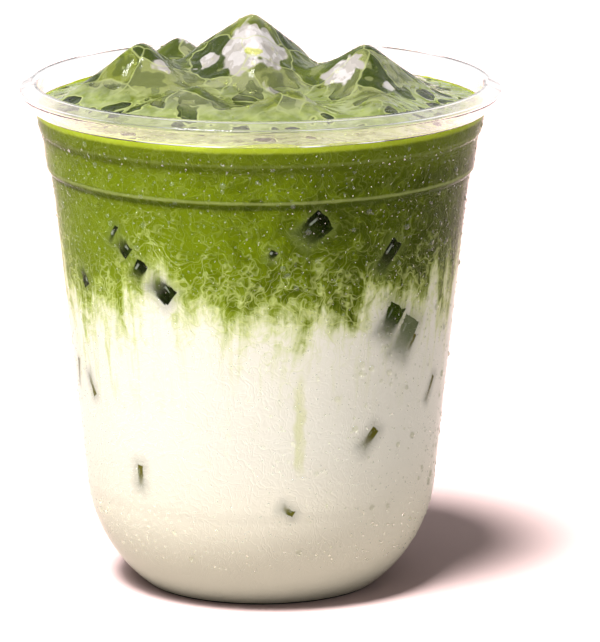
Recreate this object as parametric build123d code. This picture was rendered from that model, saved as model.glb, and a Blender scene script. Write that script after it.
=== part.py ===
"""Iced matcha latte in a clear cup with a round bottom, heaped with ice. Millimetres, +Z up.

The origin is on the table, on the cup's axis. The cup is one thin thermoformed sheet with a rolled lip.
In it lie milk and a matcha layer poured over the milk. A heap of ice cubes floats in the matcha and
stands up out of it, above the rim.
"""

import os
from math import atan, cos, hypot, radians, sin, sqrt
from typing import NamedTuple

from build123d import *

# ---- The cup's sheet and its rolled lip ----
WALL = 0.5  # thickness of the sheet
RIM_RADIUS = 49.0  # widest ring of the lip
RIM_HEIGHT = 102.0  # height of that ring
LIP_TOP = 103.9  # height of the lip's crest
MOUTH_RADIUS = 45.2  # inside of the mouth
CREST_ROUND = 0.9  # outside radius of the bend over the crest
EDGE_ROUND = 0.8  # outside radius of the bend at the widest ring
CURL_ROUND = 0.65  # outside radius of the bend where the lip curls back to the wall
CURL_HEIGHT = 98.4  # how far down the curl comes
CURL_OPENING = 0.35  # slit between the end of the curl and the wall

# ---- The cup's wall, measured on its outside ----
COLLAR_LEAN = 0.17  # how far the wall under the lip leans in, for each millimetre down
UPPER_LEDGE_HEIGHT = 94.3
UPPER_LEDGE_STEP = 0.6
LOWER_LEDGE_HEIGHT = 86.6
LOWER_LEDGE_STEP = 0.7
LEDGE_SLOPE = 1.2  # height of a ledge for each millimetre of its step
LEDGE_ROUND = 0.35
NECK_HEIGHT = 80.5  # where the wall under the lower ledge turns into the long straight wall
NECK_RADIUS = 42.0
BODY_LEAN = 0.106  # how far the long wall leans in, for each millimetre down
CORNER_RADIUS = 30.0  # the round bottom
CORNER_CUT = 5.8  # how much of the round bottom's depth the flat foot cuts off
FOOT_ROUND = 1.0
FOOT_WIDTH = 2.2  # width of the ring that the cup stands on
PUNT_HEIGHT = 2.8  # how far the middle of the bottom is pushed up
PUNT_SLOPE = 1.8  # run of the push's side, for each millimetre of its height

# ---- The drink ----
DRINK_LEVEL = 98.6
DRINK_GAP = 0.05  # film of air round each layer, so that no two solids share a face
BORDER_HEIGHT = 61.0  # middle height of the border between milk and matcha
BORDER_SWELL = 3.0  # how far the border's waves rise and fall
BORDER_POINTS = 15  # points on each side of the border's surface

# ---- The ice ----
ICE_EDGE = 15.5  # edge of a cube, before its own differences
ICE_ROUND = 2.2  # how far its edges have melted round
ICE_GAP = 0.15  # cube to cube, and cube to drink
ICE_WALL_GAP = 1.0  # cube to cup
LIFT_STEP = 0.25  # a cube that its neighbours hold up rises in steps of this until it is clear


class Cube(NamedTuple):
    """One ice cube."""

    shape: tuple  # its three edges, as shares of ICE_EDGE
    place: tuple  # its middle in X and Y, as shares of the room inside the cup
    height: float  # height of its middle above the drink's level
    lean: tuple  # degrees that it leans about X and about Y: near (35, -45) it stands on a corner
    spin: float  # degrees that it is then turned about Z


HEAP = {
    "ice_peak": Cube((1.02, 0.96, 1.06), (-0.06, 0.24), 6.0, (36, -43), 4),
    "ice_left": Cube((1.02, 0.96, 1.05), (-0.77, 0.06), 1.0, (33, -48), 34),
    "ice_right": Cube((1.00, 0.92, 1.04), (0.68, 0.00), 1.4, (38, -42), 4),
    "ice_front_left": Cube((0.94, 0.88, 1.00), (-0.46, -0.62), -3.6, (28, -30), 20),
    "ice_front": Cube((0.90, 0.96, 0.86), (0.14, -0.72), -3.0, (40, -24), 50),
    "ice_front_right": Cube((0.88, 0.80, 0.90), (0.74, -0.60), -4.4, (22, -46), 5),
    "ice_back_left": Cube((1.00, 0.94, 1.04), (-0.58, 0.78), -1.8, (35, -36), 60),
    "ice_back": Cube((0.96, 1.02, 0.92), (0.06, 0.99), -1.4, (30, -50), 25),
    "ice_back_right": Cube((0.92, 0.86, 0.96), (0.66, 0.74), -2.2, (42, -38), 30),
}


def cup_outline():
    """Closed right half of the space inside the cup's outer surface, with its flat top at the crest."""
    collar_foot = MOUTH_RADIUS + WALL - COLLAR_LEAN * (CURL_HEIGHT - UPPER_LEDGE_HEIGHT)
    band_top = collar_foot - UPPER_LEDGE_STEP
    band_top_height = UPPER_LEDGE_HEIGHT - LEDGE_SLOPE * UPPER_LEDGE_STEP
    under_ledge_height = LOWER_LEDGE_HEIGHT - LEDGE_SLOPE * LOWER_LEDGE_STEP
    neck_lean = (band_top - LOWER_LEDGE_STEP - NECK_RADIUS) / (UPPER_LEDGE_HEIGHT - NECK_HEIGHT)
    band_foot = band_top - neck_lean * (band_top_height - LOWER_LEDGE_HEIGHT)

    lean = atan(BODY_LEAN)
    centre_z = CORNER_RADIUS - CORNER_CUT
    start_z = centre_z - CORNER_RADIUS * sin(lean)
    start = NECK_RADIUS - BODY_LEAN * (NECK_HEIGHT - start_z), start_z
    centre = start[0] - CORNER_RADIUS * cos(lean), centre_z
    foot = centre[0] + sqrt(CORNER_RADIUS**2 - centre_z**2)
    middle_angle = (-lean - atan(centre_z / (foot - centre[0]))) / 2
    middle = centre[0] + CORNER_RADIUS * cos(middle_angle), centre_z + CORNER_RADIUS * sin(middle_angle)

    ring = foot - FOOT_ROUND - FOOT_WIDTH
    punt = ring - PUNT_SLOPE * PUNT_HEIGHT
    wall = Polyline(
        start,
        (NECK_RADIUS, NECK_HEIGHT),
        (band_foot - LOWER_LEDGE_STEP, under_ledge_height),
        (band_foot, LOWER_LEDGE_HEIGHT),
        (band_top, band_top_height),
        (collar_foot, UPPER_LEDGE_HEIGHT),
        (MOUTH_RADIUS + WALL, CURL_HEIGHT),
        (MOUTH_RADIUS + WALL, LIP_TOP),
        (0, LIP_TOP),
        (0, PUNT_HEIGHT),
        (punt, PUNT_HEIGHT),
        (ring, 0),
        (foot, 0),
    )
    corner = ThreePointArc((foot, 0), middle, start)
    outline = make_face(wall.edges() + corner.edges())
    ledges = [v for v in outline.vertices() if NECK_HEIGHT < v.Y < UPPER_LEDGE_HEIGHT + 0.1 and v.X > punt]
    outline = fillet(ledges, LEDGE_ROUND)
    bottom = [v for v in outline.vertices() if v.Y < PUNT_HEIGHT + 0.1 and 0.1 < v.X < foot + 0.1]
    return fillet(bottom, FOOT_ROUND)


def inside(inset, low, high):
    """Solid of the space at least inset within the cup's outer surface, between two heights."""
    half = cup_outline()
    whole = half + mirror(half, about=Plane.YZ)
    whole = offset(whole, amount=-inset, kind=Kind.INTERSECTION)
    window = Pos(RIM_RADIUS / 2, (low + high) / 2) * Rectangle(RIM_RADIUS, high - low)
    return revolve(Plane.XZ * (whole & window), axis=Axis.Z)


def lip_section(inset):
    """Section of the rolled lip as if it were closed, inset within its outer surface."""
    bends = (
        (CREST_ROUND, MOUTH_RADIUS + CREST_ROUND, LIP_TOP - CREST_ROUND),
        (EDGE_ROUND, RIM_RADIUS - EDGE_ROUND, RIM_HEIGHT),
        (CURL_ROUND, MOUTH_RADIUS + CURL_ROUND, CURL_HEIGHT + CURL_ROUND),
    )
    circles = Sketch() + [Pos(r, z) * Circle(bend - inset) for bend, r, z in bends]
    return make_hull(circles.edges())


def make_cup():
    """The sheet: bottom and wall, and the lip that rolls over and curls back to the wall."""
    half = cup_outline()
    whole = half + mirror(half, about=Plane.YZ)
    hollow = offset(whole, amount=-WALL, kind=Kind.INTERSECTION)
    top = LIP_TOP - CREST_ROUND
    below = Pos(RIM_RADIUS / 2, top / 2) * Rectangle(RIM_RADIUS, top)
    wall = (half - hollow) & below
    slit = Pos(MOUTH_RADIUS + WALL + CURL_OPENING / 2, CURL_HEIGHT) * Rectangle(CURL_OPENING, 4 * CURL_ROUND)
    lip = lip_section(0) - lip_section(WALL) - slit
    return revolve(Plane.XZ * (wall + lip), axis=Axis.Z)


def under_border(lift):
    """Solid of all that lies under the wavy border between milk and matcha, lifted by lift."""
    step = 2 * RIM_RADIUS / (BORDER_POINTS - 1)
    ticks = [-RIM_RADIUS + i * step for i in range(BORDER_POINTS)]

    def height(x, y):
        """Two slow waves that cross, and a tongue of matcha that sinks at the front."""
        waves = sin(radians(3.6 * x + 40)) + 0.7 * sin(radians(4.3 * y - 2.1 * x + 110))
        tongue = 1.6 / (1 + (hypot(x - 6, y + NECK_RADIUS) / 14) ** 2)
        return BORDER_HEIGHT + lift + BORDER_SWELL * (waves / 1.7 - tongue)

    grid = [[Vector(x, y, height(x, y)) for y in ticks] for x in ticks]
    surface = Face.make_surface_from_array_of_points(grid)
    return Solid.extrude(surface, Vector(0, 0, -BORDER_HEIGHT - 4 * BORDER_SWELL))


def turned(cube, solid):
    """A solid about the origin, leant and spun as the cube is."""
    return Rot(0, 0, cube.spin) * Rot(*cube.lean, 0) * solid


def shaped(cube, grow):
    """A cube's solid about the origin, turned, and grown by grow on every side."""
    edges = [share * ICE_EDGE + 2 * grow for share in cube.shape]
    block = Box(*edges)
    return turned(cube, fillet(block.edges(), ICE_ROUND + grow))


def settle():
    """Middle of each cube: it lies at its own height, or higher on the cubes placed before it.

    Two rounded cubes clear each other where their sharp cores lie twice the rounding apart.
    """
    room = MOUTH_RADIUS - COLLAR_LEAN * (CURL_HEIGHT - UPPER_LEDGE_HEIGHT) - 2 * UPPER_LEDGE_STEP
    clear = 2 * ICE_ROUND + ICE_GAP
    placed, middles = [], {}
    for name, cube in HEAP.items():
        core = turned(cube, Box(*[share * ICE_EDGE - 2 * ICE_ROUND for share in cube.shape]))
        extent = max(hypot(corner.X, corner.Y) for corner in core.vertices()) + ICE_ROUND
        across = Vector(*cube.place, 0) * (room - ICE_WALL_GAP - extent)

        middle = across + Vector(0, 0, DRINK_LEVEL + cube.height)
        while any((Pos(middle) * core).distance_to(other) < clear for other in placed):
            middle += Vector(0, 0, LIFT_STEP)
        middles[name] = middle
        placed.append(Pos(middle) * core)
    return middles


def make_ice(middles, grow=0.0):
    """Each cube's solid at its place."""
    return {name: Pos(middles[name]) * shaped(cube, grow) for name, cube in HEAP.items()}


def make_drink(middles):
    """Milk up to the border, and matcha from there up to the level, with the cubes' places cut out."""
    drink = inside(WALL + DRINK_GAP, 0, DRINK_LEVEL)
    milk = drink & under_border(0)
    matcha = drink - under_border(DRINK_GAP)
    for cube in make_ice(middles, ICE_GAP).values():
        matcha -= cube
    return {"milk": milk, "matcha": matcha}


if __name__ == "__main__":
    os.makedirs("parts", exist_ok=True)
    places = settle()
    nodes = {"cup": make_cup()} | make_drink(places) | make_ice(places)
    for node, solid in nodes.items():
        export_step(solid, f"parts/{node}.step")
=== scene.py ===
"""Iced matcha latte in a clear round-bottomed cup: its looks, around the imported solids. Metres, +Z up."""

import math

import bpy
import bmesh
import numpy as np
from mathutils import Matrix, Vector


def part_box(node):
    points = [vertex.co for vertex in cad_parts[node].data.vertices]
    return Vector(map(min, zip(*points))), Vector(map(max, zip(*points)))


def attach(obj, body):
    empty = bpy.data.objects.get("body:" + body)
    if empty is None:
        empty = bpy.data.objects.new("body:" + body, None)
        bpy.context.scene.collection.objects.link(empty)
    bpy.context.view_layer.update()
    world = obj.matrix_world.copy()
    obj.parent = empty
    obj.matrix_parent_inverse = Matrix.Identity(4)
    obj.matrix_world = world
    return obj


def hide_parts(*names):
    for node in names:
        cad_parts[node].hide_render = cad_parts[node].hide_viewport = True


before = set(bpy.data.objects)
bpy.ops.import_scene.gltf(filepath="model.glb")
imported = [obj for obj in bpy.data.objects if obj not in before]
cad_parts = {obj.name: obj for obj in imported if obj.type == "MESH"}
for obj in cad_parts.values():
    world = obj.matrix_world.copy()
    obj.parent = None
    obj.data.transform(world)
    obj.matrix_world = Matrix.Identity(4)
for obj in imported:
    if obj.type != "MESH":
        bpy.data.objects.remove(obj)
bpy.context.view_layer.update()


# ---- The cup: clear sheet ---------------------------------------------------------------------------
# One thin sheet of clear plastic, thermoformed over a plug. Its lip is rolled over and curls back to the
# wall, two ledges stiffen the neck, and the round bottom stands on a ring round a pushed-up middle.

MM = 0.001
WALL = 0.5 * MM
RIM_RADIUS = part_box("cup")[1].x
LIP_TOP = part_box("cup")[1].z
SPIN_STEPS = 256
CORNER_STEPS = 30
LIP_STEPS = 8
SEAM_MERGE = 0.004 * MM
DOUBLES_MERGE = 0.002 * MM
SHORTEST_EDGE = 0.0005 * MM
SHARP_ANGLE = math.radians(50)


class Wire:
    """A value on a wire of a node tree, so that a sum of sockets can be written as a sum."""

    def __init__(self, tree, socket):
        self.tree = tree
        self.socket = socket

    def math(self, operation, *others):
        made = self.tree.nodes.new("ShaderNodeMath")
        made.operation = operation
        for slot, value in enumerate((self, *others)):
            plug(self.tree, value, made.inputs[slot])
        return Wire(self.tree, made.outputs[0])

    def __add__(self, other):
        return self.math("ADD", other)

    def __sub__(self, other):
        return self.math("SUBTRACT", other)

    def __mul__(self, other):
        return self.math("MULTIPLY", other)

    def __truediv__(self, other):
        return self.math("DIVIDE", other)

    def between(self, low, high, new_low=0.0, new_high=1.0, smooth=True):
        """The value carried over from one range to another, held at its ends."""
        made = self.tree.nodes.new("ShaderNodeMapRange")
        made.interpolation_type = "SMOOTHSTEP" if smooth else "LINEAR"
        for name, value in (("Value", self), ("From Min", low), ("From Max", high),
                            ("To Min", new_low), ("To Max", new_high)):
            plug(self.tree, value, made.inputs[name])
        return Wire(self.tree, made.outputs[0])


def plug(tree, value, socket):
    """Links a wire to a socket, or writes a plain value on it."""
    if isinstance(value, Wire):
        tree.links.new(value.socket, socket)
    elif value is not None:
        socket.default_value = value


def node(tree, kind, inputs=None, **settings):
    """A new node with its settings and its inputs, by name or number."""
    made = tree.nodes.new(kind)
    for name, value in settings.items():
        setattr(made, name, value)
    for name, value in (inputs or {}).items():
        plug(tree, value, made.inputs[name])
    return made


def out(made, name=0):
    """A node's output, by name or number, as a wire."""
    return Wire(made.id_data, made.outputs[name])


def colour(red, green, blue):
    """A screen colour, 0 to 255, as the linear colour that sockets take."""
    linear = [(c / 255 / 12.92) if c / 255 <= 0.04045 else ((c / 255 + 0.055) / 1.055) ** 2.4
              for c in (red, green, blue)]
    return (*linear, 1.0)


def blend(tree, share, first, second):
    """One colour turned into another by a share."""
    made = node(tree, "ShaderNodeMix", data_type="RGBA")
    plug(tree, share, made.inputs[0])
    plug(tree, first, made.inputs[6])
    plug(tree, second, made.inputs[7])
    return Wire(tree, made.outputs[2])


def noise(tree, vector, scale, detail=2.0, roughness=0.5, distortion=0.0):
    made = node(tree, "ShaderNodeTexNoise", {"Vector": vector, "Scale": scale, "Detail": detail,
                                             "Roughness": roughness, "Distortion": distortion})
    return out(made, 0)


def place_mm(tree, stretch=(1, 1, 1)):
    """Object coordinates in millimetres, stretched."""
    where = out(node(tree, "ShaderNodeTexCoord"), "Object")
    made = node(tree, "ShaderNodeVectorMath", {0: where}, operation="MULTIPLY")
    made.inputs[1].default_value = [s / MM for s in stretch]
    return out(made, 0)


def material(name):
    """An empty node material: its tree and its output's surface socket."""
    made = bpy.data.materials.new(name)
    made.use_nodes = True
    made.node_tree.nodes.clear()
    end = made.node_tree.nodes.new("ShaderNodeOutputMaterial")
    return made, made.node_tree, end.inputs["Surface"]


def bump(tree, height, strength, distance):
    made = node(tree, "ShaderNodeBump", {"Strength": strength, "Distance": distance, "Height": height})
    return out(made, "Normal")


def lets_light_by(tree, shader, surface):
    """Clear things cast no shadow of their own: a shadow ray goes straight through."""
    clear = node(tree, "ShaderNodeBsdfTransparent")
    ray = node(tree, "ShaderNodeLightPath")
    mixed = node(tree, "ShaderNodeMixShader")
    tree.links.new(ray.outputs["Is Shadow Ray"], mixed.inputs[0])
    tree.links.new(shader.outputs[0], mixed.inputs[1])
    tree.links.new(clear.outputs[0], mixed.inputs[2])
    tree.links.new(mixed.outputs[0], surface)


def rounded(corners, step=math.radians(9)):
    """A line through corners (radius, height, rounding), each turned into an arc."""
    line = [Vector(corners[0][:2])]
    for before, corner, after in zip(corners, corners[1:], corners[2:]):
        here = Vector(corner[:2])
        back = (Vector(before[:2]) - here).normalized()
        ahead = (Vector(after[:2]) - here).normalized()
        half = back.angle(ahead) / 2
        radius = corner[2]
        if radius <= 0 or half > math.pi / 2 - 1e-4:
            line.append(here)
            continue
        middle = here + (back + ahead).normalized() * (radius / math.sin(half))
        start = here + back * (radius / math.tan(half)) - middle
        sweep = (math.pi - 2 * half) * (1 if start.cross(ahead) > 0 else -1)
        steps = max(2, int(abs(sweep) / step))
        for i in range(steps + 1):
            line.append(middle + Matrix.Rotation(sweep * i / steps, 2) @ start)
    line.append(Vector(corners[-1][:2]))
    return line


# The outline's sizes, millimetres, as in the solid: mouth, ledges, neck, body, round corner and foot.
MOUTH_RADIUS = 45.2
CURL_HEIGHT = 98.4
CURL_OPENING = 0.35
COLLAR_LEAN = 0.17
UPPER_LEDGE_HEIGHT = 94.3
UPPER_LEDGE_STEP = 0.6
LOWER_LEDGE_HEIGHT = 86.6
LOWER_LEDGE_STEP = 0.7
LEDGE_SLOPE = 1.2
LEDGE_ROUND = 0.35
NECK_HEIGHT = 80.5
NECK_RADIUS = 42.0
BODY_LEAN = 0.106
CORNER_RADIUS = 30.0
CORNER_CUT = 5.8
FOOT_ROUND = 1.0
FOOT_WIDTH = 2.2
PUNT_HEIGHT = 2.8
PUNT_SLOPE = 1.8
CREST_ROUND = 0.9
EDGE_ROUND = 0.8
EDGE_HEIGHT = 102.0
CURL_ROUND = 0.65
# Rolled lip: rounding, radius and height of its crest, its edge and its curl.
BENDS = ((CREST_ROUND, MOUTH_RADIUS + CREST_ROUND, LIP_TOP / MM - CREST_ROUND),
         (EDGE_ROUND, RIM_RADIUS / MM - EDGE_ROUND, EDGE_HEIGHT),
         (CURL_ROUND, MOUTH_RADIUS + CURL_ROUND, CURL_HEIGHT + CURL_ROUND))


def lip_line(half):
    """Middle line of the lip: over its three bends, to the slit that the curl leaves next to the wall."""
    line = []
    normal = math.pi
    for i, (bend, radius, height) in enumerate(BENDS):
        arc = bend - half
        if i + 1 < len(BENDS):
            next_bend, next_radius, next_height = BENDS[i + 1]
            way = Vector((next_radius - radius, next_height - height))
            turned = math.atan2(way.y, way.x) + math.acos((bend - next_bend) / way.length)
        else:
            turned = -math.acos((MOUTH_RADIUS + 2 * half + CURL_OPENING - radius) / arc)
        for angle in np.linspace(normal, turned, LIP_STEPS):
            line.append(Vector((radius + arc * math.cos(angle), height + arc * math.sin(angle))))
        normal = turned
    return line


def cup_line():
    """Middle line of the sheet, from the middle of the bottom out, up and over the lip, in millimetres."""
    half = WALL / MM / 2
    collar_foot = MOUTH_RADIUS + 2 * half - COLLAR_LEAN * (CURL_HEIGHT - UPPER_LEDGE_HEIGHT)
    band_top = collar_foot - UPPER_LEDGE_STEP
    band_top_height = UPPER_LEDGE_HEIGHT - LEDGE_SLOPE * UPPER_LEDGE_STEP
    under_ledge_height = LOWER_LEDGE_HEIGHT - LEDGE_SLOPE * LOWER_LEDGE_STEP
    neck_lean = (band_top - LOWER_LEDGE_STEP - NECK_RADIUS) / (UPPER_LEDGE_HEIGHT - NECK_HEIGHT)
    band_foot = band_top - neck_lean * (band_top_height - LOWER_LEDGE_HEIGHT)

    lean = math.atan(BODY_LEAN)
    centre_z = CORNER_RADIUS - CORNER_CUT
    start_z = centre_z - CORNER_RADIUS * math.sin(lean)
    centre_r = NECK_RADIUS - BODY_LEAN * (NECK_HEIGHT - start_z) - CORNER_RADIUS * math.cos(lean)
    foot = centre_r + math.sqrt(CORNER_RADIUS ** 2 - centre_z ** 2)
    arc = CORNER_RADIUS - half
    corner = [Vector((centre_r + arc * math.cos(a), centre_z + arc * math.sin(a)))
              for a in np.linspace(-math.asin((centre_z - half) / arc), -lean, CORNER_STEPS)]

    ring = foot - FOOT_ROUND - FOOT_WIDTH
    slope_shift = half * (math.sqrt(1 + PUNT_SLOPE ** 2) - PUNT_SLOPE)
    bottom = rounded([(0, PUNT_HEIGHT + half, 0),
                      (ring - PUNT_SLOPE * PUNT_HEIGHT + slope_shift, PUNT_HEIGHT + half, FOOT_ROUND),
                      (ring + slope_shift, half, FOOT_ROUND),
                      (*corner[0], FOOT_ROUND - half), (*corner[2], 0)])
    wall = rounded([(*corner[-1], 0), (NECK_RADIUS - half, NECK_HEIGHT, 0),
                    (band_foot - LOWER_LEDGE_STEP - half, under_ledge_height, LEDGE_ROUND),
                    (band_foot - half, LOWER_LEDGE_HEIGHT, LEDGE_ROUND),
                    (band_top - half, band_top_height, LEDGE_ROUND),
                    (collar_foot - half, UPPER_LEDGE_HEIGHT, LEDGE_ROUND),
                    (MOUTH_RADIUS + half, CURL_HEIGHT, 0),
                    (MOUTH_RADIUS + half, BENDS[0][2], 0)])
    return bottom + corner[3:-1] + wall[:-1] + lip_line(half)


def thickened(line, thickness):
    """Closed outline of a line given a thickness. It starts and ends on the axis."""
    sides = ([], [])
    for i, point in enumerate(line):
        ahead = line[min(i + 1, len(line) - 1)] - line[max(i - 1, 0)]
        across = Vector((ahead.y, -ahead.x)).normalized() * (thickness / 2)
        if i == 0:
            across = Vector((0, -thickness / 2))
        sides[0].append(point + across)
        sides[1].append(point - across)
    return sides[0] + sides[1][::-1]


def spin_tree():
    """Geometry nodes that spin an outline about the axis: row i of a grid is point i of the outline."""
    tree = bpy.data.node_groups.new("spin_on_axis", "GeometryNodeTree")
    face = tree.interface
    face.new_socket("Outline", in_out="INPUT", socket_type="NodeSocketGeometry")
    face.new_socket("Steps", in_out="INPUT", socket_type="NodeSocketInt")
    face.new_socket("Material", in_out="INPUT", socket_type="NodeSocketMaterial")
    face.new_socket("Geometry", in_out="OUTPUT", socket_type="NodeSocketGeometry")
    given = node(tree, "NodeGroupInput")
    size = node(tree, "GeometryNodeAttributeDomainSize", {"Geometry": out(given, "Outline")})
    in_row = out(given, "Steps") + 1
    grid = node(tree, "GeometryNodeMeshGrid", {"Vertices X": out(size, "Point Count"), "Vertices Y": in_row})
    index = out(node(tree, "GeometryNodeInputIndex"))
    along = (index / in_row).math("FLOOR")
    around = index - along * in_row
    point = node(tree, "GeometryNodeSampleIndex", {"Geometry": out(given, "Outline")},
                 data_type="FLOAT_VECTOR")
    plug(tree, out(node(tree, "GeometryNodeInputPosition")), point.inputs["Value"])
    plug(tree, along, point.inputs["Index"])
    parts = node(tree, "ShaderNodeSeparateXYZ", {0: out(point)})
    turn = around * (2 * math.pi) / out(given, "Steps")
    where = node(tree, "ShaderNodeCombineXYZ", {0: out(parts, 0) * turn.math("SINE"),
                                                1: out(parts, 0) * turn.math("COSINE"), 2: out(parts, 2)})
    moved = node(tree, "GeometryNodeSetPosition", {"Geometry": out(grid, "Mesh"), "Position": out(where)})
    merged = node(tree, "GeometryNodeMergeByDistance", {"Geometry": out(moved), "Distance": SEAM_MERGE})
    smooth = node(tree, "GeometryNodeSetShadeSmooth", {"Geometry": out(merged)})
    real = node(tree, "GeometryNodeRealizeInstances", {"Geometry": out(smooth)})
    painted = node(tree, "GeometryNodeSetMaterial", {"Geometry": out(real),
                                                     "Material": out(given, "Material")})
    end = node(tree, "NodeGroupOutput")
    tree.links.new(painted.outputs[0], end.inputs[0])
    return tree


def from_tree(name, source, tree, values):
    """Plain mesh object made by a geometry tree from a source mesh."""
    holder = bpy.data.objects.new(name + "_source", source)
    bpy.context.scene.collection.objects.link(holder)
    modifier = holder.modifiers.new("made", "NODES")
    modifier.node_group = tree
    sockets = {s.name: s.identifier for s in tree.interface.items_tree if s.in_out == "INPUT"}
    for key, value in values.items():
        modifier[sockets[key]] = value
    shown = holder.evaluated_get(bpy.context.evaluated_depsgraph_get())
    mesh = bpy.data.meshes.new_from_object(shown)
    bpy.data.objects.remove(holder)
    mesh.name = name
    mesh.materials.clear()
    mesh.materials.append(values["Material"])
    mesh.polygons.foreach_set("material_index", [0] * len(mesh.polygons))
    made = bpy.data.objects.new(name, mesh)
    bpy.context.scene.collection.objects.link(made)
    return made


def outwards(piece):
    """Merges doubles and turns every face out."""
    work = bmesh.new()
    work.from_mesh(piece.data)
    bmesh.ops.remove_doubles(work, verts=work.verts, dist=DOUBLES_MERGE)
    bmesh.ops.dissolve_degenerate(work, edges=work.edges, dist=SHORTEST_EDGE)
    bmesh.ops.recalc_face_normals(work, faces=work.faces)
    work.to_mesh(piece.data)
    work.free()
    piece.data.shade_smooth()
    piece.data.set_sharp_from_angle(angle=SHARP_ANGLE)
    return piece


def clear_sheet(name, index, wet):
    """Clear plastic, faintly uneven from the mould. Wet sheet carries a fine mist of condensation."""
    made, tree, surface = material(name)
    mm = place_mm(tree)
    long_waves = noise(tree, place_mm(tree, (1, 1, 0.45)), 0.16, 3, 0.55, 0.6)
    mist = noise(tree, mm, 1.3, 3, 0.6)
    height = long_waves * 0.8 + mist * (0.05 if wet else 0.02)
    shader = node(tree, "ShaderNodeBsdfPrincipled", {
        "Base Color": (0.985, 0.99, 0.985, 1), "Transmission Weight": 1.0, "IOR": index,
        "Roughness": noise(tree, mm, 0.5, 2).between(0.35, 0.7, 0.0, 0.06),
        "Normal": bump(tree, height, 0.5 if wet else 0.2, 0.35 * MM)})
    lets_light_by(tree, shader, surface)
    return made


outline_mesh = bpy.data.meshes.new("cup_outline")
cup_outline = thickened(cup_line(), WALL / MM)
outline_mesh.from_pydata([(p.x * MM, 0, p.y * MM) for p in cup_outline], [], [])
spin = spin_tree()
cup = outwards(from_tree("cup_sheet", outline_mesh, spin,
                         {"Steps": SPIN_STEPS, "Material": clear_sheet("clear_sheet", 1.04, True)}))
cup.data.materials.append(clear_sheet("clear_lip", 1.4, False))

# The drink wets the sheet up to here. The lip above it has air on both sides, so it bends light more.
LIP_FOOT = 97.2 * MM
for polygon in cup.data.polygons:
    polygon.material_index = int(polygon.center.z > LIP_FOOT)
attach(cup, "root")
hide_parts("cup")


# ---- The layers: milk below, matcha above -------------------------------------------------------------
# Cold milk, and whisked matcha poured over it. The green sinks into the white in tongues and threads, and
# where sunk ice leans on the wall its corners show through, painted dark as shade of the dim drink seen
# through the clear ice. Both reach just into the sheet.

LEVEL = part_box("matcha")[1].z / MM
BORDER = 61.0
BORDER_WAVE = 3.0
MEAN_RADIUS = 40.0
INTO_WALL = 0.15


def border_height(x, y):
    """Height of the hidden surface between the two layers, in millimetres."""
    waves = math.sin(math.radians(3.6 * x + 40)) + 0.7 * math.sin(math.radians(4.3 * y - 2.1 * x + 110))
    return BORDER + BORDER_WAVE * waves / 1.7


def ice_window_group():
    """Shading group: an ice cube's corner that leans on the wall. Core is the patch, dark with painted shade,
    Halo its soft rim and Glint a painted highlight streak on it."""
    tree = bpy.data.node_groups.new("ice_at_wall", "ShaderNodeTree")
    face = tree.interface
    for name in ("Arc", "Height", "At Arc", "At Height", "Half Length", "Half Width", "Turn", "Fade", "Blur"):
        face.new_socket(name, in_out="INPUT", socket_type="NodeSocketFloat")
    for name in ("Core", "Halo", "Glint"):
        face.new_socket(name, in_out="OUTPUT", socket_type="NodeSocketFloat")
    given = node(tree, "NodeGroupInput")
    across = out(given, "Arc") - out(given, "At Arc")
    up = out(given, "Height") - out(given, "At Height")
    turn = out(given, "Turn") * math.radians(1)
    cosine, sine = turn.math("COSINE"), turn.math("SINE")
    along = across * cosine + up * sine
    side = up * cosine - across * sine
    past_end = along.math("ABSOLUTE") - out(given, "Half Length")
    past_side = side.math("ABSOLUTE") - out(given, "Half Width")
    outside = past_end.math("MAXIMUM", 0.0) * past_end.math("MAXIMUM", 0.0)
    outside = outside + past_side.math("MAXIMUM", 0.0) * past_side.math("MAXIMUM", 0.0)
    distance = outside.math("SQRT") + past_end.math("MAXIMUM", past_side).math("MINIMUM", 0.0)
    soft = (along / out(given, "Half Length")).between(-1.0, 0.6, out(given, "Fade"), 0.12)
    core = distance.between(soft * -1.0, soft * 0.6, 1.0, 0.0)
    fading = (along / out(given, "Half Length")).between(-1.3, 0.4, 0.35, 1.0)
    halo = distance.between(out(given, "Blur") * -0.4, out(given, "Blur"), 1.0, 0.0)
    glint_side = (side - out(given, "Half Width") * 0.5).math("ABSOLUTE").between(0.1, 0.34, 1.0, 0.0)
    glint_along = (along - out(given, "Half Length") * 0.35).math("ABSOLUTE")
    glint_long = (glint_along / out(given, "Half Length")).between(0.12, 0.34, 1.0, 0.0)
    end = node(tree, "NodeGroupOutput")
    plug(tree, core * fading, end.inputs["Core"])
    plug(tree, halo, end.inputs["Halo"])
    plug(tree, glint_side * glint_long, end.inputs["Glint"])
    return tree
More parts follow.
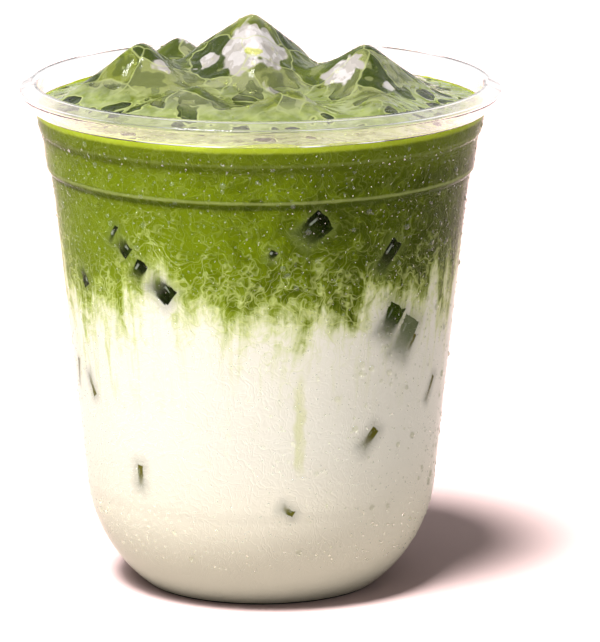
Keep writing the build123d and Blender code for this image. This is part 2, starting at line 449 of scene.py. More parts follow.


# Arc along the wall from the front, height, half length, half width, turn, fade, blur, and painted shade tone
# of the patch.
WINDOWS = (
    (9.9, 81.0, 3.6, 2.6, 42, 1.8, 1.6, "deep"),
    (2.1, 76.0, 1.1, 0.8, 60, 1.2, 1.4, "deep"),
    (26.4, 74.0, 3.8, 1.5, 54, 0.8, 2.4, "deep"),
    (-31.4, 77.8, 2.2, 0.5, 60, 0.8, 2.2, "deep"),
    (-28.9, 75.6, 1.9, 1.5, -40, 1.3, 2.6, "deep"),
    (-25.4, 71.2, 2.2, 1.4, 58, 1.4, 2.8, "deep"),
    (-20.4, 68.0, 3.0, 1.9, -38, 1.8, 3.2, "deep"),
    (-42.5, 67.2, 1.9, 1.1, -62, 0.9, 3.0, "deep"),
    (28.4, 60.2, 3.6, 2.4, 60, 2.6, 3.4, "green"),
    (33.0, 56.4, 4.2, 2.6, 62, 3.4, 3.6, "grey"),
    (35.3, 54.8, 1.9, 0.5, 58, 1.0, 1.6, "olive"),
    (44.6, 43.6, 2.8, 0.55, 62, 0.9, 2.4, "olive"),
    (24.9, 36.3, 2.6, 1.0, 48, 1.2, 3.0, "olive"),
    (-29.3, 27.8, 2.3, 0.8, 84, 0.8, 3.2, "olive"),
    (6.0, 22.6, 1.6, 0.6, -28, 0.8, 2.6, "olive"),
    (-44.3, 44.4, 2.4, 0.7, -66, 0.8, 2.6, "olive"),
    (-52.0, 45.8, 3.0, 0.4, 74, 0.9, 1.6, "olive"),
    (62.0, 70.5, 2.8, 1.4, 50, 1.4, 2.8, "deep"),
    (78.0, 50.0, 2.6, 0.9, -50, 1.2, 3.0, "olive"),
    (96.0, 74.0, 3.4, 2.0, 38, 1.6, 2.8, "deep"),
    (112.0, 62.0, 3.0, 1.6, -44, 1.6, 3.0, "green"),
    (-70.0, 76.0, 3.2, 1.8, -50, 1.6, 2.8, "deep"),
    (-86.0, 60.0, 2.8, 1.3, 54, 1.6, 3.0, "green"),
    (-104.0, 79.0, 3.0, 1.8, 40, 1.4, 2.4, "deep"),
    (-92.0, 36.0, 2.4, 0.8, -60, 1.0, 2.8, "olive"),
    (118.0, 34.0, 2.2, 0.9, 52, 1.2, 2.8, "olive"),
    (-118.0, 54.0, 2.6, 1.4, -36, 1.6, 3.0, "green"),
)
# Painted shade tones of the ice patches.
ICE_SHADE_TONES = {"deep": (16, 24, 2), "green": (44, 60, 2), "grey": (104, 112, 78), "olive": (96, 92, 22)}


def swirled(tree, vector, scale, reach, detail, roughness=0.5):
    """Places pushed about by a noise, so that a pattern on them swirls."""
    swirl = node(tree, "ShaderNodeTexNoise", {"Vector": vector, "Scale": scale, "Detail": detail,
                                              "Roughness": roughness})
    shift = node(tree, "ShaderNodeVectorMath", {0: out(swirl, "Color")}, operation="SCALE")
    shift.inputs["Scale"].default_value = reach
    return out(node(tree, "ShaderNodeVectorMath", {0: vector, 1: out(shift)}, operation="ADD"))


def cell_edges(tree, vector, scale):
    """Distance to the nearest edge in a pattern of cells."""
    return out(node(tree, "ShaderNodeTexVoronoi", {"Vector": vector, "Scale": scale},
                    feature="DISTANCE_TO_EDGE"))


def swell(value, middle, reach):
    """1 where a value is at the middle, falling smoothly to 0 at the reach on both sides."""
    return ((value - middle) / reach).math("POWER", 2.0).between(0.0, 1.0, 1.0, 0.0)


def layer_group():
    """Shading group for both layers: Color from milk to matcha, and Height for a bump."""
    tree = bpy.data.node_groups.new("latte_layers", "ShaderNodeTree")
    for name, kind in (("Color", "NodeSocketColor"), ("Height", "NodeSocketFloat")):
        tree.interface.new_socket(name, in_out="OUTPUT", socket_type=kind)
    mm = place_mm(tree)
    parts = node(tree, "ShaderNodeSeparateXYZ", {0: mm})
    x, y, z = (out(parts, i) for i in range(3))
    arc = x.math("ARCTAN2", y * -1.0) * MEAN_RADIUS

    squat = out(node(tree, "ShaderNodeVectorMath", {0: swirled(tree, mm, 0.1, 26.0, 3.0, 0.55),
                                                    1: (1.0, 1.0, 0.62)}, operation="MULTIPLY"))
    threads = cell_edges(tree, squat, 0.2).between(0.0, 0.075, 1.0, 0.0)
    fine_threads = cell_edges(tree, squat, 0.46).between(0.0, 0.09, 1.0, 0.0)
    cloud = noise(tree, squat, 0.12, 4, 0.55, 0.8)
    mottle = noise(tree, mm, 0.34, 4, 0.6, 0.5)
    streaks = noise(tree, place_mm(tree, (1, 1, 0.16)), 0.2, 4, 0.62, 0.7)
    thin_streaks = noise(tree, place_mm(tree, (1, 1, 0.1)), 0.5, 3, 0.6, 0.9)

    # Middle height of the border round the wall: high at the left of the front, low in its middle.
    bay = swell(arc, -20.0, 6.5)
    tongue = swell(arc, 1.5, 13.0)
    right_tongue = swell(arc, 34.0, 9.0)
    left_tongue = swell(arc, -42.0, 13.0)
    middle = bay * 5.0 - tongue * 2.8 - right_tongue * 2.0 - left_tongue * 3.0 + 64.6
    reach = (streaks - 0.5) * 30.0 + (cloud - 0.5) * 18.0 + (mottle - 0.5) * 7.0
    rise = z - middle + reach
    green = rise.between(-7.5, 4.5, 0.0, 1.0)
    body = rise.between(-3.0, 7.0, 0.0, 1.0)

    # Threads of matcha that run down far below the border, thinner the deeper they are.
    left_fall = swell(arc, -40.0, 16.0)
    fall = z.between(34.0, 66.0, 0.0, 1.0) * thin_streaks.between(0.5, 0.72) * (left_fall * 0.75 + 0.34)
    drip_wander = (noise(tree, place_mm(tree, (0, 0, 1)), 0.16, 2) - 0.5) * 5.0
    drip = swell(arc - drip_wander, 8.4, 1.5) * z.between(28.0, 34.0) * z.between(41.0, 56.0, 1.0, 0.2)
    drip = drip * thin_streaks.between(0.3, 0.6, 0.3, 1.0) * 0.5
    edge_zone = rise.between(-15.0, -1.0, 0.0, 1.0) * rise.between(2.0, 16.0, 1.0, 0.12)
    wisps = (threads * 0.7 + fine_threads * 0.45).math("MINIMUM", 1.0) * edge_zone

    # The green: yellow where it is thin, dark where it lies thick. It is also lighter at the left of the
    # front and darker
    # toward its right: partly the drink's own colour and partly painted shade on the side away from the key
    # lamp.
    rightward_tone_and_shade = x.between(-27.0, 31.0)
    tone_and_side_shade = rightward_tone_and_shade * 0.62 + (cloud - 0.5) * 1.1 + (mottle - 0.5) * 0.9
    dark = tone_and_side_shade.between(0.05, 0.62, 0.0, 1.0)
    matcha = blend(tree, dark, colour(110, 127, 10), colour(70, 83, 2))
    matcha = blend(tree, tone_and_side_shade.between(0.5, 1.05) * 0.9, matcha, colour(52, 63, 1))
    pale_thread = threads * 0.16 + fine_threads * mottle.between(0.5, 0.7) * 0.12
    matcha = blend(tree, pale_thread * rise.between(0.0, 20.0, 1.6, 0.5), matcha, colour(150, 166, 52))
    # Each ledge gets a painted highlight line just above it and a painted shade band just below it.
    ledge_wave = (mottle - 0.5) * 0.5
    for ledge in (UPPER_LEDGE_HEIGHT, LOWER_LEDGE_HEIGHT):
        above = (z - ledge - 0.25 + ledge_wave).math("ABSOLUTE").between(0.1, 0.5, 1.0, 0.0)
        below = (z - ledge + 0.75 + ledge_wave).math("ABSOLUTE").between(0.2, 0.95, 1.0, 0.0)
        matcha = blend(tree, below * 0.7, matcha, colour(58, 72, 4))
        matcha = blend(tree, above * 0.5, matcha, colour(178, 186, 112))
    near_top = z.between(LEVEL - 9.5, LEVEL - 4.5)
    matcha = blend(tree, near_top * 0.7, matcha, colour(100, 114, 16))
    open_top = z.between(LEVEL - 1.7, LEVEL - 0.9)
    flat_place = out(node(tree, "ShaderNodeCombineXYZ", {0: x, 1: y}))
    from_axis = out(node(tree, "ShaderNodeVectorMath", {0: flat_place}, operation="LENGTH"), "Value")
    rim_line = open_top * from_axis.between(42.0, 45.0)
    surface_colour = blend(tree, mottle.between(0.4, 0.6), colour(60, 78, 6), colour(150, 158, 72))
    matcha = blend(tree, open_top * 0.9, matcha, surface_colour)
    matcha = blend(tree, rim_line, matcha, colour(168, 182, 44))

    milk = blend(tree, z.between(6.0, 40.0), colour(246, 233, 208), colour(251, 244, 228))
    milk = blend(tree, fall, milk, colour(206, 212, 110))
    milk = blend(tree, drip, milk, colour(206, 208, 116))
    yellow = blend(tree, body, colour(196, 206, 92), colour(150, 168, 40))
    base = blend(tree, green, milk, yellow)
    base = blend(tree, body, base, matcha)
    base = blend(tree, wisps * 0.55, base, colour(214, 218, 138))

    window = ice_window_group()
    halo_all = None
    layers = []
    for at_arc, at_height, length, width, turn, fade, blur, tone in WINDOWS:
        made = node(tree, "ShaderNodeGroup", node_tree=window)
        ripple = (mottle - 0.5) * 1.5
        values = {"Arc": arc + ripple, "Height": z + ripple, "At Arc": at_arc, "At Height": at_height,
                  "Half Length": length, "Half Width": width, "Turn": turn, "Fade": fade, "Blur": blur}
        for name, value in values.items():
            plug(tree, value, made.inputs[name])
        halo = out(made, "Halo")
        halo_all = halo if halo_all is None else halo_all.math("MAXIMUM", halo)
        layers.append((out(made, "Core"), tone, out(made, "Glint")))
    veil = blend(tree, green, colour(150, 148, 132), colour(116, 128, 62))
    base = blend(tree, halo_all * 0.62, base, veil)
    # Each core is painted shade, the dim drink seen through the clear ice, with a painted highlight glint.
    for core, tone, glint in layers:
        patch = blend(tree, mottle.between(0.5, 0.62) * 0.22, colour(*ICE_SHADE_TONES[tone]), colour(66, 84, 12))
        patch = blend(tree, glint * (0.4 if tone == "deep" else 0.2), patch, colour(206, 212, 190))
        base = blend(tree, core, base, patch)

    end = node(tree, "NodeGroupOutput")
    plug(tree, base, end.inputs["Color"])
    plug(tree, mottle * 0.5 + threads * 0.3 + fine_threads * 0.2, end.inputs["Height"])
    return tree


latte_layers = layer_group()


def liquid(name, roughness):
    """Opaque drink seen through the sheet that it wets."""
    made, tree, surface = material(name)
    field = node(tree, "ShaderNodeGroup", node_tree=latte_layers)
    shader = node(tree, "ShaderNodeBsdfPrincipled", {
        "Base Color": out(field, "Color"), "Specular IOR Level": 0.03,
        "Roughness": out(field, "Height").between(0.0, 1.0, roughness, roughness + 0.1),
        "Normal": bump(tree, out(field, "Height"), 0.25, 0.3 * MM)})
    tree.links.new(shader.outputs[0], surface)
    return made


# The sheet's middle line as far as the drink wets it, and the part of it past the pushed-up middle.
wetted = [p for p in cup_line() if p.y <= LEVEL + 1.5 and p.x < MOUTH_RADIUS + 0.8]
side = [p for p in wetted if p.x > 20]


def radius_at(height):
    """Radius of the drink's side at a height, millimetres."""
    return float(np.interp(height, [p.y for p in side], [p.x for p in side])) + INTO_WALL


def ring_mesh(name, rings, steps):
    """Closed mesh from rings of points, with a pole at each end. A ring is a function of the turn."""
    points = []
    for ring in rings:
        points += [ring(2 * math.pi * i / steps) for i in range(steps)]
    first, last = len(points), len(points) + 1
    count = len(rings)
    points.append(np.mean(points[:steps], axis=0))
    points.append(np.mean(points[(count - 1) * steps:count * steps], axis=0))
    faces = [(r * steps + i, r * steps + (i + 1) % steps,
              (r + 1) * steps + (i + 1) % steps, (r + 1) * steps + i)
             for r in range(count - 1) for i in range(steps)]
    faces += [(first, (i + 1) % steps, i) for i in range(steps)]
    faces += [(last, (count - 1) * steps + i, (count - 1) * steps + (i + 1) % steps) for i in range(steps)]
    mesh = bpy.data.meshes.new(name)
    mesh.from_pydata([[c * MM for c in p] for p in points], [], faces)
    made = bpy.data.objects.new(name, mesh)
    bpy.context.scene.collection.objects.link(made)
    return outwards(made)


def seam(x, y):
    """Height at which the border between the layers meets the wall, in a direction from the axis."""
    return border_height(x * MEAN_RADIUS, y * MEAN_RADIUS)


def border_ring(share):
    """A ring on the border between the layers, a share of the way out to the wall."""
    def ring(turn):
        x, y = math.sin(turn), -math.cos(turn)
        wall = radius_at(seam(x, y))
        return x * wall * share, y * wall * share, border_height(x * wall * share, y * wall * share)
    return ring


def flat_ring(radius, height):
    """A level ring."""
    return lambda turn: (math.sin(turn) * radius, -math.cos(turn) * radius, height)


def wall_ring(share, low, high):
    """A ring part of the way up the wall between two heights, which may change round the cup."""
    def ring(turn):
        x, y = math.sin(turn), -math.cos(turn)
        bottom = low(x, y) if callable(low) else low
        top = high(x, y) if callable(high) else high
        height = bottom + (top - bottom) * share
        wall = radius_at(height)
        return x * wall, y * wall, height
    return ring


STEPS = 240
MILK_RINGS = 24
BOTTOM_HEIGHT = 26
lower = [p for p in wetted if p.y < BOTTOM_HEIGHT and p.x > 0.5]
milk_rings = [flat_ring(p.x, p.y) for p in lower[:-1]]
milk_rings += [wall_ring(i / MILK_RINGS, lower[-1].y, seam) for i in range(MILK_RINGS + 1)]
milk_rings += [border_ring(s) for s in (0.9, 0.7, 0.4, 0.1)]
milk = ring_mesh("milk_layer", milk_rings, STEPS)
milk.data.materials.append(liquid("milk_finish", 0.3))
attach(milk, "root")
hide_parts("milk")

MENISCUS = 1.1
MATCHA_RINGS = 40
TOP_CROWDING = 1.3


def surface_height(x, y):
    """Height of the drink's open surface, millimetres: it creeps up the wall and ripples a little."""
    away = radius_at(LEVEL) - math.hypot(x, y)
    ripple = 0.22 * math.sin(x * 0.31 + 1.3) * math.cos(y * 0.27 - 0.4) + 0.12 * math.sin(x * 0.7 - y * 0.55)
    return LEVEL - 0.5 + MENISCUS * math.exp(-max(away, 0) / 1.6) + ripple * min(1, max(away, 0) / 4)


def top_ring(share):
    """A ring on the drink's open surface, a share of the way out to the wall."""
    def ring(turn):
        radius = radius_at(LEVEL + 0.4) * share
        x, y = math.sin(turn) * radius, -math.cos(turn) * radius
        return x, y, surface_height(x, y)
    return ring


def brim(x, y):
    """Height to which the drink has crept up the wall, millimetres: an uneven line."""
    turn = math.atan2(x, -y)
    waves = 0.42 * math.sin(5 * turn + 0.6) + 0.3 * math.sin(11 * turn + 2) + 0.16 * math.sin(23 * turn)
    return LEVEL + 0.3 + waves


matcha_rings = [border_ring(s) for s in (0.1, 0.4, 0.7, 0.9)]
matcha_rings += [wall_ring(i / MATCHA_RINGS, seam, brim) for i in range(MATCHA_RINGS + 1)]
matcha_rings += [top_ring(1 - (i / MATCHA_RINGS) ** TOP_CROWDING * 0.98) for i in range(1, MATCHA_RINGS)]
matcha = ring_mesh("matcha_layer", matcha_rings, STEPS)
matcha.data.materials.append(liquid("matcha_finish", 0.24))
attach(matcha, "root")
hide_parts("matcha")


# ---- The ice: nine clear cubes -------------------------------------------------------------------------
# Clear cubes from a tray, melted round, afloat in the green with their corners out of it.

ICE_EDGE = 15.5
CORNER_POWER = 7.0
FACE_CUTS = 15
# Each cube's edges against ICE_EDGE, its lean about X and then Y, and its turn about Z, degrees.
CUBES = {
    "peak": ((1.02, 0.96, 1.06), (36, -43), 4),
    "left": ((1.02, 0.96, 1.05), (33, -48), 34),
    "right": ((1.00, 0.92, 1.04), (38, -42), 4),
    "front_left": ((0.94, 0.88, 1.00), (28, -30), 20),
    "front": ((0.90, 0.96, 0.86), (40, -24), 50),
    "front_right": ((0.88, 0.80, 0.90), (22, -46), 5),
    "back_left": ((1.00, 0.94, 1.04), (35, -36), 60),
    "back": ((0.96, 1.02, 0.92), (30, -50), 25),
    "back_right": ((0.92, 0.86, 0.96), (42, -38), 30),
}


def clear_ice(name, index, olive, spread):
    """Clear ice or melt that holds clouds of the drink: olive here, colourless there."""
    made, tree, surface = material(name)
    mm = place_mm(tree)
    height = noise(tree, mm, 0.16, 2, 0.5, 0.4) + noise(tree, mm, 0.6, 2) * 0.12
    clouds = noise(tree, mm, 0.12, 2).between(0.5 - spread, 0.5 + spread)
    shader = node(tree, "ShaderNodeBsdfPrincipled", {
        "Base Color": blend(tree, clouds, colour(*olive), (0.99, 0.97, 0.95, 1)),
        "Transmission Weight": 1.0, "IOR": index,
        "Roughness": noise(tree, mm, 0.3, 2).between(0.3, 0.8, 0.0, 0.05),
        "Normal": bump(tree, height, 0.6, 1.2 * MM)})
    lets_light_by(tree, shader, surface)
    return made


ice_finish = clear_ice("clear_ice", 1.31, (196, 206, 96), 0.03)
cube_turns = {}
for number, (name, (shape, lean, turn)) in enumerate(CUBES.items()):
    low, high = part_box("ice_" + name)
    turned = (Matrix.Rotation(math.radians(turn), 4, "Z") @ Matrix.Rotation(math.radians(lean[0]), 4, "X")
              @ Matrix.Rotation(math.radians(lean[1]), 4, "Y"))
    cube_turns[name] = (Matrix.Translation((low + high) / 2) @ turned, shape)
    work = bmesh.new()
    bmesh.ops.create_cube(work, size=2)
    bmesh.ops.subdivide_edges(work, edges=work.edges, cuts=FACE_CUTS, use_grid_fill=True)
    for vertex in work.verts:
        p = vertex.co
        p = p / sum(abs(c) ** CORNER_POWER for c in p) ** (1 / CORNER_POWER)
        dent = 1 - 0.035 * math.sin(2.1 * p.x + number) * math.sin(2.6 * p.y + 2 * number) - 0.02
        vertex.co = Vector([c * s * ICE_EDGE / 2 * dent * MM for c, s in zip(p, shape)])
    bmesh.ops.transform(work, matrix=cube_turns[name][0], verts=work.verts)
    bmesh.ops.recalc_face_normals(work, faces=work.faces)
    mesh = bpy.data.meshes.new("ice_cube_" + name)
    work.to_mesh(mesh)
    work.free()
    mesh.shade_smooth()
    cube = bpy.data.objects.new("ice_cube_" + name, mesh)
    bpy.context.scene.collection.objects.link(cube)
    mesh.materials.append(ice_finish)
    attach(cube, "root")
    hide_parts("ice_" + name)


# ---- The melt over the heap: drink drawn up over the ice ------------------------------------------------
# Milky green drink hangs over the heap like a tent over its poles, thin and clear where it is steep. A
# stretched sheet is relaxed over the cubes, and opens in round pockets where the dark drink shows.

GRID = 230
HALF_SPAN = 46.0
SAG_LENGTH = 7.0
RELAX_STEPS = 700
SMOOTH_STEPS = 60
SHEET_EDGE = 44.5
UNDER_ICE = 0.985


def cube_tops(x, y):
    """Height of the highest cube over each point, millimetres, with sharp ridges."""
    height = np.full(x.shape, -1e3)
    for turned, shape in cube_turns.values():
        inverse = np.array(turned.to_3x3().inverted())
        middle = np.array(turned.translation) / MM
        half = np.array(shape) * ICE_EDGE / 2 * UNDER_ICE
        offset = np.stack([x - middle[0], y - middle[1], np.zeros_like(x)], axis=-1) @ inverse.T
        up = inverse[:, 2]
        near = np.full(x.shape, -1e3)
        far = np.full(x.shape, 1e3)
        for i in range(3):
            slope = up[i] if abs(up[i]) > 1e-6 else 1e-6
            first = (-half[i] - offset[..., i]) / slope
            second = (half[i] - offset[..., i]) / slope
            near = np.maximum(near, np.minimum(first, second))
            far = np.minimum(far, np.maximum(first, second))
        height = np.where(near < far, np.maximum(height, far + middle[2]), height)
    return height


def beside(field):
    """Mean of the four neighbours of each point of a grid."""
    return (np.roll(field, 1, 0) + np.roll(field, -1, 0) + np.roll(field, 1, 1) + np.roll(field, -1, 1)) / 4


span = np.linspace(-HALF_SPAN, HALF_SPAN, GRID)
grid_x, grid_y = np.meshgrid(span, span, indexing="ij")
poles = cube_tops(grid_x, grid_y)
floor_height = LEVEL - 0.2
stretched = np.maximum(poles, floor_height)
pull = (span[1] - span[0]) ** 2 / (4 * SAG_LENGTH ** 2)
for _ in range(RELAX_STEPS):
    relaxed = beside(stretched) * (1 - pull) + floor_height * pull
    stretched = np.maximum(relaxed, np.maximum(poles, floor_height))
    stretched[np.hypot(grid_x, grid_y) > SHEET_EDGE] = floor_height
for _ in range(SMOOTH_STEPS):
    stretched = (stretched + beside(stretched)) / 2


def film_height(x, y):
    """Height of the stretched sheet at a point, between the grid's points."""
    u = (x + HALF_SPAN) / (2 * HALF_SPAN) * (GRID - 1)
    v = (y + HALF_SPAN) / (2 * HALF_SPAN) * (GRID - 1)
    i, j = min(int(u), GRID - 2), min(int(v), GRID - 2)
    a, b = u - i, v - j
    return float((stretched[i, j] * (1 - a) + stretched[i + 1, j] * a) * (1 - b)
                 + (stretched[i, j + 1] * (1 - a) + stretched[i + 1, j + 1] * a) * b)


def film_ring(radius, lift):
    """A ring that lies a lift over the stretched sheet."""
    def ring(turn):
        x, y = math.sin(turn) * radius, -math.cos(turn) * radius
        return x, y, film_height(x, y) + lift
    return ring


# Painted refraction, where the white surroundings show through clear ice: middle x, y, z and reach,
# millimetres.
REFRACTED_WHITE_SPOTS = ((-1.5, 1, 109.5, 6.6), (-11, 3, 107.5, 3.0), (17, -4, 105.5, 4.6), (-20, -3.5, 107, 1.9),
               (9.5, -14, 102.8, 2.4), (25, -8, 102, 2.6), (3, -9, 104, 2.2),
               (-16, 26, 107, 4), (22, 26, 105, 4))


def melt_finish():
    """Milky film with clear pockets: its alpha opens in rounded holes, more of them where it is steep."""
    made, tree, surface = material("melt_film")
    mm = place_mm(tree)
    drifted = swirled(tree, mm, 0.12, 7.0, 2.0)
    middles = node(tree, "ShaderNodeTexVoronoi", {"Vector": drifted, "Scale": 0.17}, feature="F1")
    pockets = (cell_edges(tree, drifted, 0.17) * 1.35).math("MINIMUM", out(middles, "Distance") * -1.0 + 0.52)
    facets = node(tree, "ShaderNodeTexVoronoi", {"Vector": drifted, "Scale": 0.095}, feature="F1")
    facet_edge = cell_edges(tree, drifted, 0.095)
    soft = noise(tree, mm, 0.3, 3)
    height = out(node(tree, "ShaderNodeSeparateXYZ", {0: mm}), "Z")
    low = height.between(LEVEL + 2.2, LEVEL + 6.0, 1.0, 0.0)
    flat = height.between(LEVEL - 0.1, LEVEL + 0.9, 1.0, 0.0)

    # Low down: a milky web with round dark pockets. It closes to a plain skin away from the ice.
    width = low * 0.08 + 0.02 + flat * 0.35 + (noise(tree, mm, 0.16, 2) - 0.5) * 0.36
    web = (pockets - width).between(0.0, 0.035, 1.0, 0.0)
    rim_highlights = (pockets - width + 0.02).math("ABSOLUTE").between(0.0, 0.045, 1.0, 0.0)
    thin_web = cell_edges(tree, drifted, 0.42).between(0.02, 0.06, 0.6, 0.0)
    thin_web = thin_web * noise(tree, mm, 0.22, 2).between(0.5, 0.58)
    web = web.math("MAXIMUM", thin_web)
    milky = blend(tree, soft.between(0.35, 0.65), colour(122, 137, 42), colour(164, 175, 100))
    deep = blend(tree, soft.between(0.42, 0.58), colour(30, 44, 1), colour(76, 96, 6))
    skin = blend(tree, web, deep, milky)
    # Pale rims round the pockets are painted highlights along the film's edges.
    skin = blend(tree, rim_highlights * low * 0.8, skin, colour(194, 203, 122))

    # High up: clear facets, each painted with what it bends the light to, as painted refraction: white, olive
    # or green.
    tint = out(node(tree, "ShaderNodeSeparateColor", {0: out(facets, "Color")}))
    inside = noise(tree, drifted, 0.3, 1)
    facet = blend(tree, tint.between(0.42, 0.43), colour(158, 168, 66), colour(108, 124, 12))
    facet = blend(tree, tint.between(0.62, 0.63), facet, colour(178, 184, 112))
    facet = blend(tree, tint.between(0.76, 0.77), facet, colour(70, 86, 4))
    facet = blend(tree, tint.between(0.25, 0.26, 1.0, 0.0), facet, colour(188, 192, 138))
    # Painted shade and painted highlight patches inside the facets.
    facet = blend(tree, inside.between(0.5, 0.53) * 0.6, facet, colour(60, 76, 2))
    facet = blend(tree, inside.between(0.4, 0.37) * 0.5, facet, colour(192, 198, 128))
    refracted_white_share = None
    for x, y, z, reach in REFRACTED_WHITE_SPOTS:
        gap = node(tree, "ShaderNodeVectorMath", {0: mm, 1: (x, y, z)}, operation="DISTANCE")
        spot = (out(gap, "Value") + (inside - 0.5) * 8.0).between(reach - 0.9, reach, 1.0, 0.0)
        refracted_white_share = spot if refracted_white_share is None else refracted_white_share.math("MAXIMUM", spot)
    # Painted refraction: the white surroundings seen through the clear ice.
    painted_backdrop_white = blend(tree, soft.between(0.48, 0.52) * 0.7, colour(240, 232, 230), colour(196, 186, 176))
    facet = blend(tree, refracted_white_share, facet, painted_backdrop_white)
    # Pale lines along the facet edges are painted highlights.
    facet = blend(tree, facet_edge.between(0.0, 0.03, 0.7, 0.0), facet, colour(188, 194, 128))
    pale = blend(tree, low, facet, skin)
    high_cover = refracted_white_share * 0.26 + 0.46 + inside.between(0.5, 0.53) * 0.15
    high_cover = (high_cover + facet_edge.between(0.0, 0.03, 0.3, 0.0)).math("MINIMUM", 0.94)
    cover = high_cover + (web.between(0.0, 1.0, 0.5, 1.0) - high_cover) * low
    shader = node(tree, "ShaderNodeBsdfPrincipled", {
        "Base Color": pale, "IOR": 1.4, "Alpha": cover.math("MINIMUM", 1.0),
        "Roughness": noise(tree, mm, 0.8, 2).between(0.3, 0.7, 0.03, 0.14),
        "Normal": bump(tree, web * low * 1.3 + inside * 1.2 + soft * 0.3, 0.9, 0.9 * MM)})
    tree.links.new(shader.outputs[0], surface)
    return made


FILM_RADIUS = 44.8
FILM_RINGS = 110
FILM_THICKNESS = 0.12
FILM_LIFT = 0.3
MELT_RADIUS = FILM_RADIUS * 0.98
FILM_STEPS = 320
shares = [(i + 1) / FILM_RINGS for i in range(FILM_RINGS)]
film_rings = [film_ring(FILM_RADIUS * s, FILM_LIFT + FILM_THICKNESS) for s in shares]
film_rings += [film_ring(FILM_RADIUS * s, FILM_LIFT) for s in reversed(shares)]
melt_rings = [film_ring(MELT_RADIUS * s, 0) for s in shares]
melt_rings += [flat_ring(MELT_RADIUS * s, floor_height - 0.5) for s in (1.0, 0.6, 0.2)]
melt = ring_mesh("melt_water", melt_rings, FILM_STEPS)
melt.data.materials.append(clear_ice("melt_water", 1.22, (236, 240, 196), 0.1))
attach(melt, "root")
film = ring_mesh("melt_film", film_rings, FILM_STEPS)
film.data.materials.append(melt_finish())
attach(film, "root")


# ---- Beads: condensation on the cup and bubbles on the melt -----------------------------------------------
# Water that has settled out of the air on the cold sheet, in fine beads and a few larger drops, and small
# bubbles on the melt and along the wall. Each kind is scattered over a surface.


def scatter_tree():
    """Geometry nodes that scatter flattened beads over a surface, half sunk in it."""
    tree = bpy.data.node_groups.new("scatter_beads", "GeometryNodeTree")
    face = tree.interface
    face.new_socket("Surface", in_out="INPUT", socket_type="NodeSocketGeometry")
    for name, kind in (("Density", "Float"), ("Smallest", "Float"), ("Largest", "Float"),
                       ("Flatness", "Float"), ("Sides", "Int"), ("Seed", "Int"), ("Material", "Material")):
        face.new_socket(name, in_out="INPUT", socket_type="NodeSocket" + kind)
    face.new_socket("Geometry", in_out="OUTPUT", socket_type="NodeSocketGeometry")
    given = node(tree, "NodeGroupInput")
    spots = node(tree, "GeometryNodeDistributePointsOnFaces", {
        "Mesh": out(given, "Surface"), "Density": out(given, "Density"), "Seed": out(given, "Seed")})
    chance = node(tree, "FunctionNodeRandomValue", {"Seed": out(given, "Seed")}, data_type="FLOAT")
    share = out(chance, 1).math("POWER", 3.0)
    size = out(given, "Smallest") + (out(given, "Largest") - out(given, "Smallest")) * share
    scale = node(tree, "ShaderNodeCombineXYZ", {0: size, 1: size, 2: size * out(given, "Flatness")})
    bead = node(tree, "GeometryNodeMeshUVSphere", {"Segments": out(given, "Sides"),
                                                   "Rings": (out(given, "Sides") / 2.0), "Radius": 1.0})
    smooth = node(tree, "GeometryNodeSetShadeSmooth", {"Geometry": out(bead, "Mesh")})
    placed = node(tree, "GeometryNodeInstanceOnPoints", {
        "Points": out(spots, "Points"), "Instance": out(smooth), "Rotation": out(spots, "Rotation"),
        "Scale": out(scale)})
    real = node(tree, "GeometryNodeRealizeInstances", {"Geometry": out(placed)})
    painted = node(tree, "GeometryNodeSetMaterial", {"Geometry": out(real),
                                                     "Material": out(given, "Material")})
    end = node(tree, "NodeGroupOutput")
    tree.links.new(painted.outputs[0], end.inputs[0])
    return tree


def water(name, tint, index):
    """Clear beads with a faint tint."""
    made, tree, surface = material(name)
    mm = place_mm(tree)
    shader = node(tree, "ShaderNodeBsdfPrincipled", {
        "Base Color": blend(tree, noise(tree, mm, 0.1, 2), colour(*tint), (1, 1, 1, 1)),
        "Transmission Weight": 0.94, "IOR": index,
        "Roughness": noise(tree, mm, 0.4, 2).between(0.4, 0.7, 0.0, 0.04)})
    lets_light_by(tree, shader, surface)
    return made


def open_spin(name, line):
    """Surface of a line (radius, height) spun about the axis, only to scatter things on."""
    steps = 90
    turns = [2 * math.pi * k / steps for k in range(steps)]
    points = [(math.sin(t) * p.x * MM, -math.cos(t) * p.x * MM, p.y * MM) for p in line for t in turns]
    faces = [(r * steps + k, r * steps + (k + 1) % steps,
              (r + 1) * steps + (k + 1) % steps, (r + 1) * steps + k)
             for r in range(len(line) - 1) for k in range(steps)]
    mesh = bpy.data.meshes.new(name)
    mesh.from_pydata(points, [], faces)
    return mesh


scatter = scatter_tree()
to_outside = WALL / MM / 2 - INTO_WALL
wet_heights = np.linspace(9, 96.5, 50)
wall_face = open_spin("wall_face", [Vector((radius_at(z) + to_outside, z)) for z in wet_heights])
water_bead = water("water_bead", (238, 242, 214), 1.3)
for name, density, smallest, largest, sides, seed in (("condensation_fine", 300e3, 0.09, 0.3, 6, 3),
                                                      ("condensation_drops", 40e3, 0.22, 0.75, 10, 8)):
    beads = from_tree(name, wall_face, scatter, {
        "Density": density, "Smallest": smallest * MM, "Largest": largest * MM, "Flatness": 0.5,
        "Sides": sides, "Seed": seed, "Material": water_bead})
    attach(beads, "root")

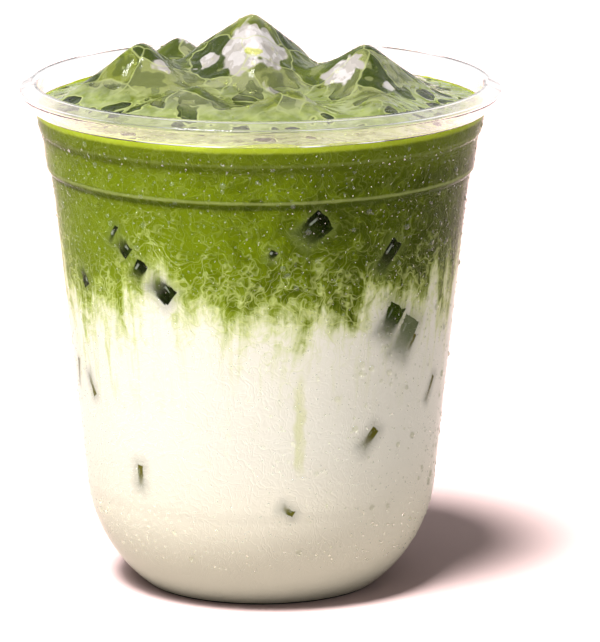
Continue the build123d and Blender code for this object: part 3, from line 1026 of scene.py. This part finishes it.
BUBBLE_LIFT = 0.24
film_face = open_spin("film_face", [Vector((r, 0)) for r in np.linspace(44.6, 0.5, 70)])
for vertex in film_face.vertices:
    vertex.co.z = (film_height(vertex.co.x / MM, vertex.co.y / MM) + BUBBLE_LIFT) * MM
bubbles = from_tree("bubbles", film_face, scatter, {
    "Density": 150e3, "Smallest": 0.13 * MM, "Largest": 0.6 * MM, "Flatness": 0.8, "Sides": 8, "Seed": 21,
    "Material": water("bubble_skin", (216, 226, 120), 1.2)})
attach(bubbles, "root")


# ---- The stage: floor, light and camera -----------------------------------------------------------------
# A plain white floor and a soft key lamp from the front left. The floor and the world are bright to the
# camera and in reflections, and dimmer as a source of light.

HALF_FLOOR = 4.0
floor_mesh = bpy.data.meshes.new("floor")
floor_mesh.from_pydata([(x * HALF_FLOOR, y * HALF_FLOOR, 0) for x, y in ((-1, -1), (1, -1), (1, 1), (-1, 1))],
                       [], [(0, 1, 2, 3)])
floor = bpy.data.objects.new("floor", floor_mesh)
bpy.context.scene.collection.objects.link(floor)


def seen_share(tree):
    """1 on a path from the camera that has only been reflected or has gone through clear things."""
    ray = node(tree, "ShaderNodeLightPath")
    seen = out(ray, "Is Camera Ray") + out(ray, "Is Glossy Ray") + out(ray, "Is Transmission Ray")
    return seen.math("MINIMUM", 1.0) * out(ray, "Diffuse Depth").math("LESS_THAN", 0.5)


floor_finish, tree, surface = material("floor_finish")
grain = noise(tree, place_mm(tree), 0.02, 2)
paper = blend(tree, grain, (0.14, 0.135, 0.135, 1), (0.16, 0.155, 0.155, 1))
bright = blend(tree, grain, (0.42, 0.315, 0.305, 1), (0.44, 0.33, 0.32, 1))
shader = node(tree, "ShaderNodeBsdfDiffuse", {"Color": blend(tree, seen_share(tree), paper, bright)})
tree.links.new(shader.outputs[0], surface)
floor_mesh.materials.append(floor_finish)


def aim(thing, target):
    """Turns a lamp or camera towards a point."""
    thing.rotation_euler = (Vector(target) - thing.location).to_track_quat("-Z", "Y").to_euler()


def direction(turn, rise):
    """Unit vector towards a lamp, by its turn from the front and its rise, degrees."""
    turn = math.radians(turn)
    rise = math.radians(rise)
    return Vector((math.sin(turn) * math.cos(rise), -math.cos(turn) * math.cos(rise), math.sin(rise)))


KEY_AWAY = 1.4
KEY_SIZE = 0.5
KEY_POWER = 9.87 * 0.88
key_data = bpy.data.lights.new("key", "AREA")
key_data.shape = "DISK"
key_data.size = KEY_SIZE
key_data.energy = KEY_POWER * KEY_AWAY ** 2
key = bpy.data.objects.new("key", key_data)
bpy.context.scene.collection.objects.link(key)
key.location = direction(-40, 60) * KEY_AWAY
aim(key, (0, 0, 0.05))

# A second lamp from the same side lights the floor alone, so that it is white outside the shadow.
floor_lamp_data = bpy.data.lights.new("floor_lamp", "SUN")
floor_lamp_data.energy = 15.0
floor_lamp_data.angle = KEY_SIZE / KEY_AWAY
floor_lamp = bpy.data.objects.new("floor_lamp", floor_lamp_data)
bpy.context.scene.collection.objects.link(floor_lamp)
floor_lamp.location = direction(-33, 70)
aim(floor_lamp, (0, 0, 0))
floor_only = bpy.data.collections.new("floor_only")
floor_only.objects.link(floor)
floor_lamp.light_linking.receiver_collection = floor_only

world = bpy.data.worlds.new("studio")
world.use_nodes = True
bpy.context.scene.world = world
tree = world.node_tree
tree.nodes.clear()
strength = seen_share(tree).between(0.0, 1.0, 0.44, 1.0, smooth=False)
glow = node(tree, "ShaderNodeBackground", {"Color": (1, 1, 1, 1), "Strength": strength})
end = node(tree, "ShaderNodeOutputWorld")
tree.links.new(glow.outputs[0], end.inputs[0])

CAMERA_PLACE = (0, -1.1896, 0.32007)
CAMERA_TARGET = (0.00801, 0, 0.05363)
camera_data = bpy.data.cameras.new("camera")
camera_data.lens = 334.1
camera_data.sensor_width = 36
camera_data.clip_start = 0.05
camera = bpy.data.objects.new("camera", camera_data)
bpy.context.scene.collection.objects.link(camera)
camera.location = CAMERA_PLACE
aim(camera, CAMERA_TARGET)
bpy.context.scene.camera = camera
bpy.context.scene.view_settings.view_transform = "Standard"

bpy.context.view_layer.update()
